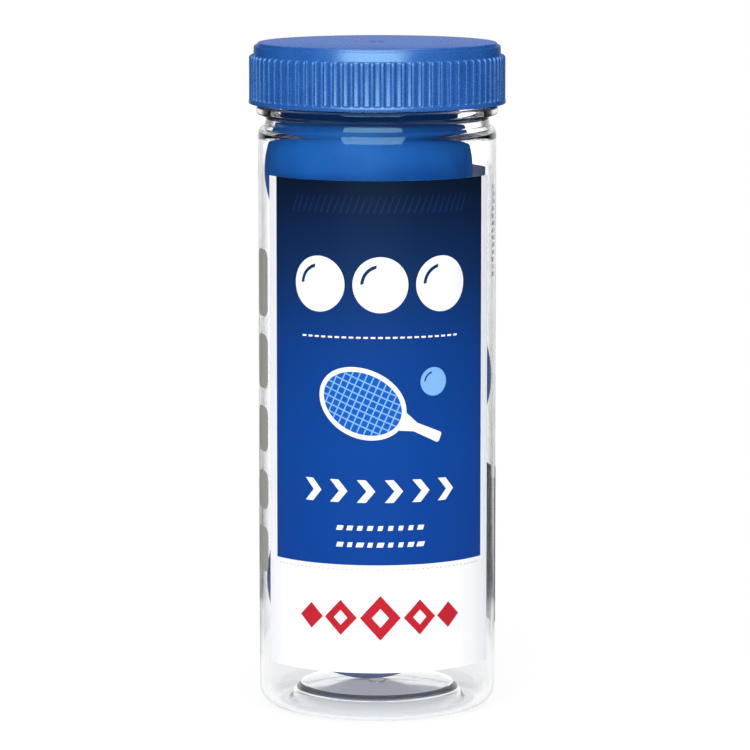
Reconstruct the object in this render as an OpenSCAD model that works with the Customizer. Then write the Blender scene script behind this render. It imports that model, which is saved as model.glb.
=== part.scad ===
// A clear screw-top jar that holds three hollow rubber court balls.
// The jar stands on z = 0 with its axis on Z, and its printed front faces -Y.

/* [Balls] */
// Outer diameter of a ball
ball_d = 57.15; // [55:0.05:60]
// Rubber wall of a ball
ball_wall = 3.9; // [3:0.1:5]
// Thickness of the cement between the two halves of a ball
seam_t = 0.3; // [0.2:0.05:0.6]
// Cement squeezed out inside a ball, beyond its wall
seam_flash = 0.6; // [0.3:0.1:1.2]
// Gap between a ball and what it lies against
ball_gap = 0.3; // [0.2:0.05:0.6]

/* [Jar body] */
// Play across the inside of the jar, beyond one ball
body_play = 6.85; // [6:0.05:9]
// Wall of the jar body
wall_t = 0.8; // [0.5:0.05:1.1]
// Thickness of the jar base
base_t = 1.1; // [0.7:0.05:1.6]
// Outer radius of the heel, between the foot and the body
heel_r = 5.4; // [4:0.1:7]
// Width of the flat foot ring
foot_w = 2; // [1:0.1:3]
// Radial run of the sloping side of the push-up
riser_w = 4.4; // [3:0.1:6]
// Height of the push-up over the foot, at its rim
push_h = 4.4; // [3:0.1:6]
// Extra height of the push-up at its middle
crown_h = 0.5; // [0.2:0.1:1.2]
// Diameter of the moulding gate mark under the base
gate_d = 4.4; // [3:0.1:6]
// Height of the gate mark
gate_h = 0.5; // [0.3:0.1:1.5]

/* [Jar neck] */
// Clearance of the mouth, beyond one ball
mouth_clear = 1.45; // [1:0.05:2.5]
// Wall of the finish, which the cap goes over
finish_wall = 2.1; // [1.6:0.05:2.6]
// Wall of the plain neck under the bead
neck_wall = 1.2; // [0.9:0.05:1.5]
// Height of the plain neck
neck_h = 2.1; // [1.5:0.1:4]
// Width of the neck bead beyond the finish
bead_w = 1.9; // [1.5:0.1:2.6]
// Height of the bead's outer face
bead_t = 1.9; // [1.2:0.1:3]
// Height of the bead's sloping underside
bead_slope = 1.1; // [0.6:0.1:1.8]
// Chamfer on the bead's upper edge
bead_edge = 0.4; // [0.2:0.1:0.6]
// Height of the rim over the top ball
head_room = 3.3; // [2:0.1:6]
// Chamfer on the rim's two edges
rim_edge = 0.4; // [0.2:0.1:0.6]

/* [Cap] */
// Height of the cap
cap_h = 16.7; // [16:0.1:19]
// Radial room for the thread, between the finish and the cap's skirt
thread_room = 1.5; // [1.2:0.05:2]
// Wall of the skirt, without its ribs
cap_wall = 1.5; // [1.2:0.05:2]
// Thickness of the cap's top
cap_top_t = 1.9; // [1.6:0.1:2.4]
// Grip ribs round the skirt
rib_count = 78; // [60:2:84]
// Height of a rib over the skirt
rib_h = 0.85; // [0.6:0.05:1.2]
// Width of a rib at its foot
rib_w = 1.6; // [1.2:0.05:1.8]
// Width of a rib at its crest
rib_crest_w = 0.8; // [0.5:0.05:1]
// Depth from the cap's top to the upper ends of the ribs
rib_drop = 3.4; // [3:0.1:4.5]
// Height of the bevel on a rib's upper end
rib_bevel = 0.8; // [0.4:0.1:1.2]
// Height of the plain band under the ribs
band_h = 1.5; // [1:0.1:2.5]
// Step of the band beyond the ribs
band_step = 0.1; // [0.05:0.05:0.3]
// Step inwards from the skirt to the upper rim
rim_step = 0.35; // [0.2:0.05:0.6]
// Depth from the cap's top to the ledge round its disc
ledge_drop = 1.1; // [0.8:0.1:1.4]
// Width of the ledge round the disc
ledge_w = 1.15; // [0.8:0.05:1.5]
// Width of the stacking lip on the ledge
lip_w = 0.4; // [0.3:0.05:0.5]
// Height of the stacking lip
lip_h = 0.25; // [0.15:0.05:0.5]
// Radius of the disc's edge
disc_edge = 0.6; // [0.3:0.1:0.8]
// Gap between the cap's lower edge and the neck bead
cap_gap = 0.8; // [0.5:0.1:2]

/* [Liner] */
// Thickness of the foam liner
liner_t = 1; // [0.6:0.1:1.6]
// Radial clearance between the liner and the skirt
liner_side = 0.3; // [0.2:0.05:0.4]
// Gap between the liner and the cap's underside
liner_gap = 0.05; // [0.03:0.01:0.1]
// Gap between the liner and the jar's rim
seal_gap = 0.1; // [0.05:0.01:0.2]
// Projection of the ridge that keeps the liner in
keeper_h = 0.55; // [0.45:0.05:0.7]
// Height of the keeper ridge
keeper_w = 0.9; // [0.6:0.1:1.2]

/* [Label] */
// Thickness of the label film
label_t = 0.12; // [0.08:0.01:0.25]
// Height of the label
label_h = 134.5; // [110:0.5:135]
// Height of the label's lower edge
label_z = 14.2; // [13:0.1:20]
// Width of the glued lap at the back
lap_w = 6; // [4:0.5:12]
/* [Hidden] */
$fn = 96;

// Overrun of a cut past the face that it opens
cut_over = 1;
// Depth that a rib is sunk into the skirt
root_sink = 0.35;
// Steps in a quarter round, in the side of the push-up and in its crown
arc_steps = 8;
riser_steps = 10;
crown_steps = 5;

// The balls, from the lowest: the way each leans in the jar, and how its seam is turned
BALLS = ["bottom", "middle", "top"];
lean_angle = [138, 0, 222];
seam_turn = [[72, 0, 20], [18, 40, 0], [68, 0, 0]];
ball_blue = "#1d5fae";
seam_blue = "#164c92";

// Radii of the jar
ball_r = ball_d / 2;
body_in_r = ball_r + body_play / 2;
body_r = body_in_r + wall_t;
foot_out_r = body_r - heel_r;
foot_in_r = foot_out_r - foot_w;
panel_r = foot_in_r - riser_w;
bore_r = ball_r + mouth_clear / 2;
finish_r = bore_r + finish_wall;
neck_r = bore_r + neck_wall;
bead_r = finish_r + bead_w;
shoulder_r = body_r - neck_r;
shoulder_in_r = shoulder_r - wall_t;

// Places of the balls: each leans on the wall, and its height follows from the ball under it
lean = body_in_r - ball_r - ball_gap;
function lean_xy(i) = lean * [cos(lean_angle[i]), sin(lean_angle[i])];
function climb(i) = sqrt(pow(ball_d + ball_gap, 2) - pow(norm(lean_xy(i) - lean_xy(i - 1)), 2));
floor_z = push_h + crown_h + base_t;
function ball_z(i) = i == 0 ? floor_z + ball_gap + ball_r : ball_z(i - 1) + climb(i);
top_ball_z = ball_z(len(BALLS) - 1);

// Heights of the neck and cap
rim_z = top_ball_z + ball_r + head_room;
liner_z = rim_z + seal_gap;
ceiling_z = liner_z + liner_t + liner_gap;
top_z = ceiling_z + cap_top_t;
cap_z = top_z - cap_h;
bead_top_z = cap_z - cap_gap;
bead_z = bead_top_z - bead_t;
neck_top_z = bead_z - bead_slope;
shoulder_z = neck_top_z - neck_h;
body_top_z = shoulder_z - shoulder_r;

// Radii of the cap
cap_in_r = finish_r + thread_room;
skirt_r = cap_in_r + cap_wall;
rib_r = skirt_r + rib_h;
band_r = rib_r + band_step;
cap_rim_r = skirt_r - rim_step;
disc_r = cap_rim_r - ledge_w;
liner_r = cap_in_r - liner_side;

// Heights on the cap
rib_top_z = top_z - rib_drop;
rib_base_z = cap_z + band_h;
ledge_z = top_z - ledge_drop;

// Points of an arc about c, from angle a to angle b
function arc(c, r, a, b, n = arc_steps) =
    [for (i = [0:n]) let (t = a + (b - a) * i / n) [c[0] + r * cos(t), c[1] + r * sin(t)]];

// Height of the underside of the base at radius r: a crowned panel and a smooth sloping side
function base_z(r) =
    r <= panel_r
        ? push_h + crown_h * (1 - pow(r / panel_r, 2))
        : push_h * (1 + cos(180 * (r - panel_r) / riser_w)) / 2;
base_radii = concat(
    [for (i = [0:crown_steps - 1]) panel_r * i / crown_steps],
    [for (i = [0:riser_steps]) panel_r + riser_w * i / riser_steps]
);

module jar() {
    outside = concat(
        [for (r = base_radii) [r, base_z(r)]],
        arc([foot_out_r, heel_r], heel_r, -90, 0),
        arc([neck_r, body_top_z], shoulder_r, 0, 90),
        [
            [neck_r, neck_top_z],
            [bead_r, bead_z],
            [bead_r, bead_top_z - bead_edge],
            [bead_r - bead_edge, bead_top_z],
            [finish_r, bead_top_z],
            [finish_r, rim_z - rim_edge],
            [finish_r - rim_edge, rim_z]
        ]
    );
    inside = concat(
        [[bore_r + rim_edge, rim_z], [bore_r, rim_z - rim_edge]],
        arc([neck_r, body_top_z + shoulder_in_r + neck_wall], neck_wall, 180, 270),
        arc([neck_r, body_top_z], shoulder_in_r, 90, 0),
        arc([foot_out_r, heel_r], heel_r - wall_t, 0, -90),
        [for (i = [len(base_radii) - 1:-1:0]) [base_radii[i], base_z(base_radii[i]) + base_t]]
    );
    color("aliceblue", 0.35) {
        rotate_extrude() polygon(concat(outside, inside));
        translate([0, 0, push_h + crown_h - gate_h]) cylinder(d = gate_d, h = gate_h + base_t / 2);
    }
}

// One film round the jar, twice as thick where its ends lap over each other at the back
module wrap_label() {
    lap_r = body_r + 2 * label_t;
    color("royalblue", 0.8)
        translate([0, 0, label_z])
            linear_extrude(height = label_h)
                difference() {
                    union() {
                        circle(r = body_r + label_t);
                        intersection() {
                            circle(r = lap_r);
                            translate([-lap_w / 2, 0]) square([lap_w, lap_r + cut_over]);
                        }
                    }
                    circle(r = body_r);
                }
}

// The grip ribs, cut to the skirt's round outline and bevelled at their upper ends
module grip_ribs() {
    foot_r = skirt_r - root_sink;
    out_r = rib_r + cut_over;
    foot_z = rib_base_z - root_sink;
    intersection() {
        for (i = [0:rib_count - 1])
            rotate([0, 0, 360 * i / rib_count])
                translate([0, 0, foot_z])
                    linear_extrude(height = rib_top_z - foot_z)
                        polygon([
                            [foot_r, -rib_w / 2], [out_r, -rib_crest_w / 2],
                            [out_r, rib_crest_w / 2], [foot_r, rib_w / 2]
                        ]);
        rotate_extrude()
            polygon([
                [foot_r - cut_over, cap_z], [rib_r, cap_z], [rib_r, rib_top_z - rib_bevel],
                [foot_r, rib_top_z], [foot_r - cut_over, rib_top_z]
            ]);
    }
}

module screw_cap() {
    outside = concat(
        [
            [cap_in_r, cap_z],
            [band_r - band_step, cap_z],
            [band_r, cap_z + band_step],
            [band_r, rib_base_z - band_step],
            [skirt_r, rib_base_z],
            [skirt_r, rib_top_z],
            [cap_rim_r, rib_top_z],
            [cap_rim_r, ledge_z + lip_h],
            [cap_rim_r - lip_w, ledge_z + lip_h],
            [cap_rim_r - lip_w, ledge_z],
            [disc_r, ledge_z]
        ],
        arc([disc_r - disc_edge, top_z - disc_edge], disc_edge, 0, 90),
        [[0, top_z]]
    );
    inside = [
        [0, ceiling_z],
        [cap_in_r, ceiling_z],
        [cap_in_r, liner_z - seal_gap],
        [cap_in_r - keeper_h, liner_z - seal_gap - keeper_w / 2],
        [cap_in_r, liner_z - seal_gap - keeper_w]
    ];
    color("#1f63c0") {
        rotate_extrude() polygon(concat(outside, inside));
        grip_ribs();
    }
}

module cap_liner() {
    color("whitesmoke") translate([0, 0, liner_z]) cylinder(r = liner_r, h = liner_t);
}

// The frame of one ball, by its name in BALLS: the seam lies in its XY plane
module in_ball(name) {
    i = search([name], BALLS)[0];
    translate([lean_xy(i)[0], lean_xy(i)[1], ball_z(i)]) rotate(seam_turn[i]) children();
}

// Half of a hollow ball. side is 1 for the upper half and -1 for the lower.
module ball_half(side) {
    color(ball_blue)
        difference() {
            sphere(r = ball_r);
            sphere(r = ball_r - ball_wall);
            translate([-ball_d, -ball_d, side > 0 ? seam_t / 2 - 2 * ball_d : -seam_t / 2])
                cube(2 * ball_d);
        }
}

// The cement ring between two halves, with the flash that it leaves inside
module ball_seam() {
    color(seam_blue)
        intersection() {
            sphere(r = ball_r);
            difference() {
                cylinder(r = ball_r + cut_over, h = seam_t, center = true);
                cylinder(
                    r = ball_r - ball_wall - seam_flash, h = seam_t + 2 * cut_over, center = true
                );
            }
        }
}

jar();
wrap_label();
screw_cap();
cap_liner();
in_ball("top") ball_half(1);  // top_ball_upper_half
in_ball("top") ball_half(-1);  // top_ball_lower_half
in_ball("top") ball_seam();  // top_ball_seam
in_ball("middle") ball_half(1);  // middle_ball_upper_half
in_ball("middle") ball_half(-1);  // middle_ball_lower_half
in_ball("middle") ball_seam();  // middle_ball_seam
in_ball("bottom") ball_half(1);  // bottom_ball_upper_half
in_ball("bottom") ball_half(-1);  // bottom_ball_lower_half
in_ball("bottom") ball_seam();  // bottom_ball_seam
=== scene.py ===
"""Looks of a clear screw-top jar that holds three rubber court balls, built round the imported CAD.

The frame is the CAD's: metres, the jar on z = 0 with its axis on Z, its printed front facing -Y.
Sizes are written in millimetres and turned into metres by metres(). Prints are drawn flat in
millimetres, as (along, height): along runs round the jar to the right, from a print's middle.
"""

import math
from types import SimpleNamespace

import bmesh
import bpy
from mathutils import Matrix, Vector
from mathutils.geometry import tessellate_polygon


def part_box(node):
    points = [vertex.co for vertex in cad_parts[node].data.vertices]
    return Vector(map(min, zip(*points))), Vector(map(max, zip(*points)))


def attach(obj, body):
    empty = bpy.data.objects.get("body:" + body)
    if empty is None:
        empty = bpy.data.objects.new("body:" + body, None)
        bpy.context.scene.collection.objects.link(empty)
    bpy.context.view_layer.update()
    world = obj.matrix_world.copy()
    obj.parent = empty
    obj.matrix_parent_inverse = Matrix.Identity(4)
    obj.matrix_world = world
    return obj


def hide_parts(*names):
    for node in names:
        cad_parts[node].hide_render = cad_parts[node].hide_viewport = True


MM = 0.001
TURN = 2 * math.pi

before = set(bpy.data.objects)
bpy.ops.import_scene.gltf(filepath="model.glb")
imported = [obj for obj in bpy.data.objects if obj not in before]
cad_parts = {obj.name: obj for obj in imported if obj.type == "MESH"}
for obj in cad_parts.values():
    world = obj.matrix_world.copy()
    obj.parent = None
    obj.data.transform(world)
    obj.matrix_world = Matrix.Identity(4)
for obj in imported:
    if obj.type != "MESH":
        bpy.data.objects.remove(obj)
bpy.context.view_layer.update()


def metres(**sizes):
    """Named sizes, given in millimetres, as attributes in metres."""
    return SimpleNamespace(**{name: size * MM for name, size in sizes.items()})


# Sizes

JAR = metres(
    body_r=32.8, wall=0.8, heel_r=5.4, foot_w=2.0, riser_w=4.4, push_h=4.4, crown_h=0.5, base_t=1.1,
    gate_r=2.2, gate_h=0.5, gate_side=0.15, gate_round=0.2, gate_lip=0.6, gate_blend=0.7,
    bore_r=29.3, finish_r=31.4, neck_r=30.5, neck_foot_r=31.0, neck_foot_round=0.4, neck_h=2.1,
    neck_round=1.0, bead_r=33.3, bead_t=1.9, bead_slope=1.1, bead_round=0.45, rim_round=0.5,
    cap_gap=0.8, slow_shoulder_r=6.0, quick_shoulder_r=1.2, throat_drop=0.2, throat_round=1.0,
    inner_shoulder_r=2.5, thread_row=0.22, thread_clear=0.5,
)
SHOULDER_TURN = 22  # degrees of the shoulder that bend slowly
SHOULDER_LEAN = 60  # degrees from upright of the cone above it
BASE_RINGS = 40  # rings of faces in each side of the base
JAR.rim_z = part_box("jar")[1].z

CAP = metres(
    in_r=32.9, skirt_r=34.4, band_r=35.35, band_h=1.5, band_slope=0.35, rim_r=34.05, disc_r=32.9,
    ledge_drop=1.1, disc_draft=0.3, rim_draft=0.15, lip_w=0.4, lip_h=0.25, rib_drop=3.4,
    rib_bevel=0.9, rib_h=0.85, rib_w=1.5, rib_crest_w=0.8, rib_seat=0.1, rib_row=0.25,
    rib_clear=0.5, disc_round=0.5, edge_round=0.3, lower_round=0.25, lip_round=0.12, top_t=1.9,
    keeper_h=0.55, keeper_w=0.9, keeper_drop=3.05, keeper_round=0.2, ceiling_round=0.4,
    corner_r=0.4, gate_r=1.6, gate_dip=0.25, gate_side=0.3, gate_round=0.4, thread_row=0.44,
    inner_skin=0.1,
)
CAP.low_z, CAP.top_z = (corner.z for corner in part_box("screw_cap"))
CAP.ceiling_z = CAP.top_z - CAP.top_t
RIB_COUNT = 78
RIB_COLUMNS = 12  # columns of faces for each rib

THREAD = metres(pitch=4.2, height=1.2, root_w=2.4, crest_w=1.0, flank_gap=0.3, radial_gap=0.3)
JAR_THREAD_TURNS, CAP_THREAD_TURNS = 1.5, 1.25
THREAD_FADE = 25 / 360  # turns over which a thread's ends rise
JAR_THREAD_DROP = 3.2 * MM  # from the rim to the upper end of the jar's thread
CAP_THREAD_RISE = 1.7 * MM  # from the cap's lower edge to the lower end of its thread
ON_LINE = 0.01 * MM  # a point this near to a line lies on it
ON_POINT = 0.001 * MM  # points this near to each other are one

LINER = metres(
    r=32.6, edge=0.15, dent_deep=0.06, dent_in_r=29.4, dent_out_r=31.3, dent_side=0.2, dent_round=0.3
)

BALL = metres(
    r=28.575, wall=3.9, seam_t=0.3, flash=0.6, seam_deep=0.05, cement_gap=0.01, cement_edge=0.03,
    flash_round=0.12,
)
CEMENT_SUNK = 1.15  # how deep the cement lies under the ball's surface, in seam depths
# Degrees from the seam, and how much of the seam's depth the rubber's edge has sunk there
SEAM_EASE = ((4.0, 0.0), (2.2, 0.0), (1.2, 0.3), (0.7, 0.75))
EASE_ABOVE = 5.5  # degrees from the seam at which the plain round ends
BALL_COLUMNS = 144

# The film lies just off the jar, and the inks lie on it in order
FILM = metres(in_r=32.83, thick=0.06, lap_w=6.0, lap_lift=0.08, lap_ramp=5.0)
FILM.low_z, FILM.high_z = (corner.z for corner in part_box("wrap_label"))
FILM_STEPS = 300  # faces along the film
INK = metres(first_r=32.9, thick=0.012, step=0.018, cut=1.0)
CUT_TOUCH = 1e-7  # metres from a cut within which a corner lies on it
BLUE_LOW_Z = 44.0 * MM

# Degrees round the jar: the middle of each print, and half of what its white and its blue span
PRINT_ANGLES = {"front": (1.5, 64.7, 57.9), "back": (178.5, 69.5, 61.0)}
LEFT_PADS_AT, RIGHT_DASHES_AT, RIGHT_BLOCK_AT = -73.5, 74.0, (90.0, 106.5)


# Small tools


def tone(red, green, blue):
    """A colour given as it looks on a screen, 0 to 255, as Blender's linear colour."""

    def linear(value):
        share = value / 255
        return share / 12.92 if share <= 0.04045 else ((share + 0.055) / 1.055) ** 2.4

    return (linear(red), linear(green), linear(blue), 1.0)


class Value:
    """An output in a node tree. Python's + - * / on it add Math nodes to the tree."""

    def __init__(self, socket):
        self.socket = socket
        self.tree = socket.id_data

    def maths(self, operation, *others, clamp=False):
        return maths(self.tree, operation, self, *others, clamp=clamp)

    def eased(self, start, end):
        """0 where this value is at start and 1 at end, rising smoothly between them."""
        into = {"Value": self, "From Min": start, "From Max": end}
        kind = "ShaderNodeMapRange"
        return take(self.tree, kind, into, "Result", interpolation_type="SMOOTHSTEP")

    def __add__(self, other):
        return self.maths("ADD", other)

    def __sub__(self, other):
        return self.maths("SUBTRACT", other)

    def __rsub__(self, other):
        return maths(self.tree, "SUBTRACT", other, self)

    def __mul__(self, other):
        return self.maths("MULTIPLY", other)

    def __truediv__(self, other):
        return self.maths("DIVIDE", other)

    def __rtruediv__(self, other):
        return maths(self.tree, "DIVIDE", other, self)


def feed(node, into):
    """Gives a node its inputs, by name or number: plain values, Values, or nodes."""
    for name, value in into.items():
        if isinstance(value, bpy.types.Node):
            value = Value(value.outputs[0])
        if isinstance(value, Value):
            value.tree.links.new(value.socket, node.inputs[name])
        else:
            node.inputs[name].default_value = value


def put(tree, kind, into=None, **settings):
    """Adds a node with these settings and feeds it."""
    node = tree.nodes.new(kind)
    for name, value in settings.items():
        setattr(node, name, value)
    feed(node, into or {})
    return node


def take(tree, kind, into=None, output=0, **settings):
    """Adds a node and gives one of its outputs."""
    return Value(put(tree, kind, into, **settings).outputs[output])


def outputs(node):
    """All outputs of a node, by name."""
    return {socket.name: Value(socket) for socket in node.outputs}


def maths(tree, operation, *values, clamp=False):
    into = dict(enumerate(values))
    return take(tree, "ShaderNodeMath", into, operation=operation, use_clamp=clamp)


def either(first, *others):
    """The largest of these values, so 1 where any of these masks is 1."""
    for other in others:
        first = first.maths("MAXIMUM", other)
    return first


def mixed(share, low, high):
    """A number between low and high."""
    return take(share.tree, "ShaderNodeMix", {0: share, 2: low, 3: high}, data_type="FLOAT")


def blended(share, low, high):
    """A colour between low and high."""
    return take(share.tree, "ShaderNodeMix", {0: share, 6: low, 7: high}, 2, data_type="RGBA")


def split(vector):
    """The X, Y and Z of a vector."""
    return outputs(put(vector.tree, "ShaderNodeSeparateXYZ", {0: vector}))


def joined(tree, x, y, z):
    return take(tree, "ShaderNodeCombineXYZ", {"X": x, "Y": y, "Z": z})


def new_tree(name, kind, inputs, results):
    """A node group, and its inputs. A socket is given by its kind, or by a number as its default."""
    tree = bpy.data.node_groups.new(name, kind)
    for direction, sockets in (("INPUT", inputs), ("OUTPUT", results)):
        for socket, given in sockets.items():
            is_kind = isinstance(given, str)
            socket_type = "NodeSocket" + (given if is_kind else type(given).__name__.title())
            made = tree.interface.new_socket(socket, in_out=direction, socket_type=socket_type)
            if not is_kind:
                made.default_value = given
    return tree, outputs(tree.nodes.new("NodeGroupInput"))


def ended(tree, shape, material):
    """Ends a shape's tree in plain geometry of one material."""
    shape = put(tree, "GeometryNodeRealizeInstances", {"Geometry": shape})
    shape = put(tree, "GeometryNodeSetMaterial", {"Geometry": shape, "Material": material})
    put(tree, "NodeGroupOutput", {"Geometry": shape})
    return tree


def mesh_object(name, vertices, edges=(), faces=()):
    """A new object at the origin with this mesh."""
    mesh = bpy.data.meshes.new(name)
    mesh.from_pydata([tuple(v) for v in vertices], list(edges), list(faces))
    made = bpy.data.objects.new(name, mesh)
    bpy.context.scene.collection.objects.link(made)
    return made


def grown(obj, tree, **sizes):
    """Runs a Geometry Nodes tree on obj with these inputs, and keeps the result as a plain mesh."""
    modifier = obj.modifiers.new(tree.name, "NODES")
    modifier.node_group = tree
    sockets = {
        s.name: s.identifier
        for s in tree.interface.items_tree
        if s.item_type == "SOCKET" and s.in_out == "INPUT"
    }
    for name, value in sizes.items():
        modifier[sockets[name.replace("_", " ").title()]] = value
    evaluated = obj.evaluated_get(bpy.context.evaluated_depsgraph_get())
    mesh = bpy.data.meshes.new_from_object(evaluated)
    obj.modifiers.clear()
    old, obj.data = obj.data, mesh
    bpy.data.meshes.remove(old)
    mesh.name = obj.name
    return obj


def finished(obj, material, body, replaces=(), sharp=40):
    """Shades a piece, gives it its material, sets it on its body, and hides the CAD parts that it
    replaces.
    """
    shape = bmesh.new()
    shape.from_mesh(obj.data)
    bmesh.ops.recalc_face_normals(shape, faces=shape.faces)
    shape.to_mesh(obj.data)
    shape.free()
    obj.data.shade_smooth()
    obj.data.set_sharp_from_angle(angle=math.radians(sharp))
    obj.data.materials.clear()
    obj.data.materials.append(material)
    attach(obj, body)
    if replaces:
        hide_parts(*replaces)
    return obj


# Outlines


def rounded(corners, closed=False, steps=6):
    """An outline through corners (x, y, radius), with an arc at each corner that has a radius."""
    most = 0.48  # share of a side that an arc may take
    points = []
    last = len(corners) - 1
    for i, (x, y, radius) in enumerate(corners):
        here = Vector((x, y))
        if not radius or (not closed and i in (0, last)):
            points.append(here)
            continue
        back = Vector(corners[i - 1][:2]) - here
        on = Vector(corners[(i + 1) % len(corners)][:2]) - here
        half = back.angle(on) / 2
        reach = min(radius / math.tan(half), most * back.length, most * on.length)
        radius = reach * math.tan(half)
        inwards = (back.normalized() + on.normalized()).normalized()
        middle = here + inwards * (radius / math.sin(half))
        first = here + back.normalized() * reach - middle
        end = here + on.normalized() * reach - middle
        swing = first.angle_signed(end)
        for step in range(steps + 1):
            points.append(middle + Matrix.Rotation(-swing * step / steps, 2) @ first)
    return points


def on_circle(radius, degrees):
    """A point on a circle about the origin."""
    angle = math.radians(degrees)
    return radius * Vector((math.cos(angle), math.sin(angle)))


def arc(middle, radius, start, end, steps=12):
    """Points of an arc, with its angles in degrees."""
    angles = [start + (end - start) * i / steps for i in range(steps + 1)]
    return [Vector(middle) + on_circle(radius, angle) for angle in angles]


def sampled(points, longest, low, high, within=math.inf):
    """The outline with extra points, so that no step between two heights is longer than longest.

    Only steps inside the radius within are cut.
    """
    filled = [points[0]]
    for point in points[1:]:
        before = filled[-1]
        inside = low - MM < min(before.y, point.y) and max(before.y, point.y) < high + MM
        inside = inside and max(before.x, point.x) < within
        pieces = max(1, math.ceil((point - before).length / longest)) if inside else 1
        filled += [before.lerp(point, k / pieces) for k in range(1, pieces + 1)]
    return filled


# Geometry Nodes


def turned_shape_tree():
    """Turns an outline, drawn in the XZ plane, about Z, with a screw thread and grip ribs on it.

    The outline's point attributes thread_share and rib_share say how much of each a point has.
    """
    tree, given = new_tree(
        "turned_shape",
        "GeometryNodeTree",
        {
            "Geometry": "Geometry", "Columns": 192,
            "Thread Height": 0.0, "Thread Pitch": 1.0, "Thread Turns": 1.0, "Thread Low Z": 0.0,
            "Thread Start": 0.0, "Thread Root Width": 1.0, "Thread Crest Width": 0.5,
            "Rib Count": 1, "Rib Gather": 0.0, "Rib Height": 0.0, "Rib Foot Width": 1.0,
            "Rib Crest Width": 0.5, "Material": "Material",
        },
        {"Geometry": "Geometry"},
    )
    outline = given["Geometry"]
    rows = take(tree, "GeometryNodeAttributeDomainSize", {"Geometry": outline}, "Point Count")
    across = given["Columns"] + 1.0
    sides = {"Vertices X": rows, "Vertices Y": across}
    grid = take(tree, "GeometryNodeMeshGrid", sides, "Mesh")
    index = take(tree, "GeometryNodeInputIndex")
    row = (index / across).maths("FLOOR")
    around = (index - row * across) / given["Columns"]

    # Rib Gather draws the columns together at the ribs' flanks, a fifth of a space from their middles
    long_pull, short_pull = 0.05, 0.06
    phase = around * given["Rib Count"] * TURN
    pull = (phase * 2.0).maths("SINE") * short_pull - phase.maths("SINE") * long_pull
    around = around + pull * given["Rib Gather"] / given["Rib Count"]

    def of_outline(field, kind):
        into = {"Geometry": outline, "Index": row, "Value": field}
        return take(tree, "GeometryNodeSampleIndex", into, data_type=kind)

    def share(name):
        into = {"Name": name}
        field = take(tree, "GeometryNodeInputNamedAttribute", into, data_type="FLOAT")
        return of_outline(field, "FLOAT")

    place = split(of_outline(take(tree, "GeometryNodeInputPosition"), "FLOAT_VECTOR"))

    # How far along the thread this point is, in turns, and how far up or down from its middle
    start = around - given["Thread Start"]
    away = (place["Z"] - given["Thread Low Z"]) / given["Thread Pitch"] - start
    whole = away.maths("ROUND")
    along = start + whole
    aside = (away - whole).maths("ABSOLUTE") * given["Thread Pitch"]
    ridge = aside.eased(given["Thread Root Width"] / 2.0, given["Thread Crest Width"] / 2.0)
    ridge = ridge * along.eased(0.0, THREAD_FADE)
    ridge = ridge * (given["Thread Turns"] - along).eased(0.0, THREAD_FADE)
    ridge = ridge * share("thread_share") * given["Thread Height"]

    # How far this point is from the middle of the nearest rib
    ribs_around = around * given["Rib Count"]
    spacing = place["X"] * TURN / given["Rib Count"]
    aside = (ribs_around - ribs_around.maths("ROUND")).maths("ABSOLUTE") * spacing
    rib = aside.eased(given["Rib Foot Width"] / 2.0, given["Rib Crest Width"] / 2.0)
    rib = rib * share("rib_share") * given["Rib Height"]

    radius = place["X"] + ridge + rib
    angle = around * TURN
    turned = joined(tree, radius * angle.maths("COSINE"), radius * angle.maths("SINE"), place["Z"])
    shape = put(tree, "GeometryNodeSetPosition", {"Geometry": grid, "Position": turned})
    shape = put(tree, "GeometryNodeMergeByDistance", {"Geometry": shape, "Distance": ON_POINT})
    return ended(tree, shape, given["Material"])


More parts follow.
